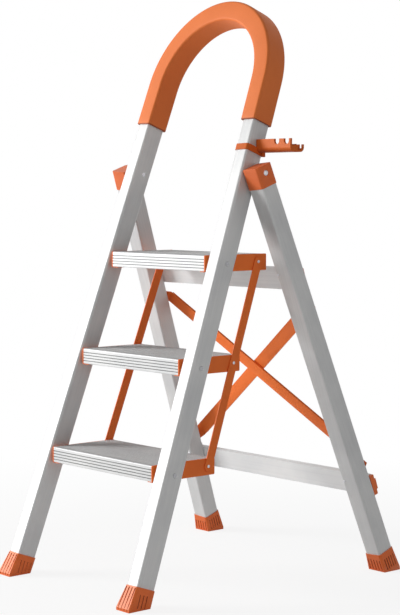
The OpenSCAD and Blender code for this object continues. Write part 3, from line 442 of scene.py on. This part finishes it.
def soft_sleeve():
    """The handrail's sleeve: one rounded tube down both rails and round the bend."""
    crown = (OVERALL_HEIGHT - SLEEVE_WALL * math.sin(LEAN)) / math.cos(LEAN)
    middle = crown - RAIL_WIDE / 2 - SLEEVE_WALL
    bend = (RAIL_FOOT_X - middle * math.tan(RAIL_TAPER)) / (1 / math.cos(RAIL_TAPER) - math.tan(RAIL_TAPER))
    centre = Vector((0, 0, middle - bend))
    wide = RAIL_WIDE / 2 + SLEEVE_WALL
    deep = RAIL_DEEP / 2 + SLEEVE_WALL
    work = bmesh.new()
    bmesh.ops.create_grid(work, x_segments=1, y_segments=1, size=1)
    bmesh.ops.transform(work, matrix=Matrix.Diagonal((wide, deep, 1, 1)), verts=work.verts)
    bmesh.ops.bevel(work, geom=work.verts[:], offset=SLEEVE_CORNER, offset_type="OFFSET",
                    segments=CORNER_CUTS, profile=0.5, affect="VERTICES", clamp_overlap=True, material=-1)
    bmesh.ops.delete(work, geom=work.faces[:], context="FACES_ONLY")
    # the section starts at the right rail's joint with the bend, in the rails' plane
    start = centre + Vector((bend * math.cos(RAIL_TAPER), 0, bend * math.sin(RAIL_TAPER)))
    along = Vector((-math.sin(RAIL_TAPER), 0, math.cos(RAIL_TAPER)))
    stand = Matrix.Translation(start + Vector((0, RAIL_DEEP / 2, 0))) @ Matrix.Rotation(-RAIL_TAPER, 4, "Y")
    bmesh.ops.transform(work, matrix=stand, verts=work.verts)
    bmesh.ops.translate(work, vec=-along * SLEEVE_REACH, verts=work.verts)

    def pull(edges, vec, steps):
        for _ in range(steps):
            made = bmesh.ops.extrude_edge_only(work, edges=edges)["geom"]
            moved = [item for item in made if isinstance(item, bmesh.types.BMVert)]
            bmesh.ops.translate(work, vec=vec / steps, verts=moved)
            edges = [item for item in made if isinstance(item, bmesh.types.BMEdge)
                     and all(vert in moved for vert in item.verts)]
        return edges

    rim = pull(work.edges[:], along * SLEEVE_REACH, STRAIGHT_ROWS)
    rim_verts = list({vert for edge in rim for vert in edge.verts})
    turned = bmesh.ops.spin(work, geom=rim_verts + rim, cent=centre, axis=(0, -1, 0),
                            angle=math.pi - 2 * RAIL_TAPER, steps=BEND_ROWS, use_merge=False)["geom_last"]
    rim = [item for item in turned if isinstance(item, bmesh.types.BMEdge)]
    pull(rim, Vector((along.x, 0, -along.z)) * SLEEVE_REACH, STRAIGHT_ROWS)
    bmesh.ops.remove_doubles(work, verts=work.verts, dist=RING_WELD)
    bmesh.ops.recalc_face_normals(work, faces=work.faces)
    lean = Matrix.Translation((0, FRONT_Y, 0)) @ Matrix.Rotation(-LEAN, 4, "X")
    bmesh.ops.transform(work, matrix=lean, verts=work.verts)
    for face in work.faces:
        face.smooth = True
    mesh = bpy.data.meshes.new("handrail_sleeve")
    work.to_mesh(mesh)
    work.free()
    sleeve = as_piece("handrail_sleeve", mesh, "handle_grip", foam)
    wall = sleeve.modifiers.new("foam_wall", "SOLIDIFY")
    wall.thickness = SLEEVE_WALL - SLEEVE_INSET
    wall.offset = -1
    round_edges(sleeve, SLEEVE_ROUNDING, 50, 3)


soft_sleeve()
for foot in ("left_front_foot", "right_front_foot", "left_rear_foot", "right_rear_foot"):
    softened(foot, MOULD_EDGE, 30, facet=FLUTE_FACET)
for cap in ("left_hinge_cap", "right_hinge_cap", "upper_crossbar_caps", "lower_crossbar_caps"):
    softened(cap, CAP_EDGE)
for rack_part in ("tool_rack", "rack_clamp_screw"):
    softened(rack_part, MOULD_EDGE)
for plates in ("top_side_plates", "middle_side_plates", "bottom_side_plates"):
    softened(plates, SHEET_EDGE)
for link in ("left_link_bar", "right_link_bar"):
    softened(link, SHEET_EDGE)
for bar in ("front_brace_bar", "rear_brace_bar"):
    softened(bar, SHEET_EDGE, 25)


# ---------------------------------------------------------------- floor, light and camera

def studio_floor():
    work = bmesh.new()
    bmesh.ops.create_circle(work, cap_ends=True, segments=FLOOR_SIDES, radius=FLOOR_RADIUS)
    mesh = bpy.data.meshes.new("studio_floor")
    work.to_mesh(mesh)
    work.free()
    floor = bpy.data.objects.new("studio_floor", mesh)
    bpy.context.scene.collection.objects.link(floor)
    finish = Finish("studio_floor")
    finish.set(base_color=(0.9, 0.9, 0.9), roughness=0.9)
    ray = finish.node("ShaderNodeLightPath")
    camera_ray, glossy_ray, clear_ray = (
        Tap(finish, ray.outputs[kind]) for kind in ("Is Camera Ray", "Is Glossy Ray", "Is Transmission Ray"))
    seen = finish.maths("MAXIMUM", finish.maths("MAXIMUM", camera_ray, glossy_ray), clear_ray)
    spot = Tap(finish, finish.cast.outputs["Object"])
    length = finish.node("ShaderNodeVectorMath", {0: spot}, operation="LENGTH")
    reach = Tap(finish, length.outputs["Value"])
    pale = finish.span(reach, SHADOW_RADIUS, WHITE_RADIUS, FLOOR_PALE, 1.0)
    glow = finish.node("ShaderNodeEmission", {"Strength": 1.0})
    mixed = finish.node("ShaderNodeMixShader", {
        0: seen * pale, 1: Tap(finish, finish.surface.outputs[0]), 2: Tap(finish, glow.outputs[0])})
    finish.tree.links.new(mixed.outputs[0], finish.tree.nodes["Material Output"].inputs["Surface"])
    mesh.materials.append(finish.material)


def studio_world(level):
    world = bpy.data.worlds.new("studio")
    bpy.context.scene.world = world
    world.use_nodes = True
    tree = world.node_tree
    ray = tree.nodes.new("ShaderNodeLightPath")
    most = [tree.nodes.new("ShaderNodeMath") for _ in range(2)]
    for node in most:
        node.operation = "MAXIMUM"
    tree.links.new(ray.outputs["Is Camera Ray"], most[0].inputs[0])
    tree.links.new(ray.outputs["Is Glossy Ray"], most[0].inputs[1])
    tree.links.new(most[0].outputs[0], most[1].inputs[0])
    tree.links.new(ray.outputs["Is Transmission Ray"], most[1].inputs[1])
    strength = tree.nodes.new("ShaderNodeMapRange")
    strength.inputs["To Min"].default_value = level
    strength.inputs["To Max"].default_value = 1.0
    tree.links.new(most[1].outputs[0], strength.inputs["Value"])
    sky = tree.nodes["Background"]
    sky.inputs["Color"].default_value = (1, 1, 1, 1)
    tree.links.new(strength.outputs[0], sky.inputs["Strength"])


def softbox(name, place, target, size, power):
    lamp = bpy.data.lights.new(name, "AREA")
    lamp.shape = "RECTANGLE"
    lamp.size, lamp.size_y = size
    lamp.energy = power
    box = bpy.data.objects.new(name, lamp)
    bpy.context.scene.collection.objects.link(box)
    box.location = place
    box.rotation_euler = (Vector(target) - Vector(place)).to_track_quat("-Z", "Y").to_euler()


studio_floor()
studio_world(WORLD_LEVEL)
softbox("key_softbox", **KEY)
softbox("side_fill", **FILL)

lens = bpy.data.cameras.new("camera")
lens.sensor_fit = "HORIZONTAL"
lens.sensor_width = SENSOR_WIDTH
lens.lens = FOCAL_LENGTH
lens.clip_end = FARTHEST_SEEN
camera = bpy.data.objects.new("camera", lens)
bpy.context.scene.collection.objects.link(camera)
camera.location = CAMERA_PLACE
camera.rotation_euler = [math.radians(turn) for turn in CAMERA_TURN]
bpy.context.scene.camera = camera
bpy.context.scene.view_settings.view_transform = "Standard"
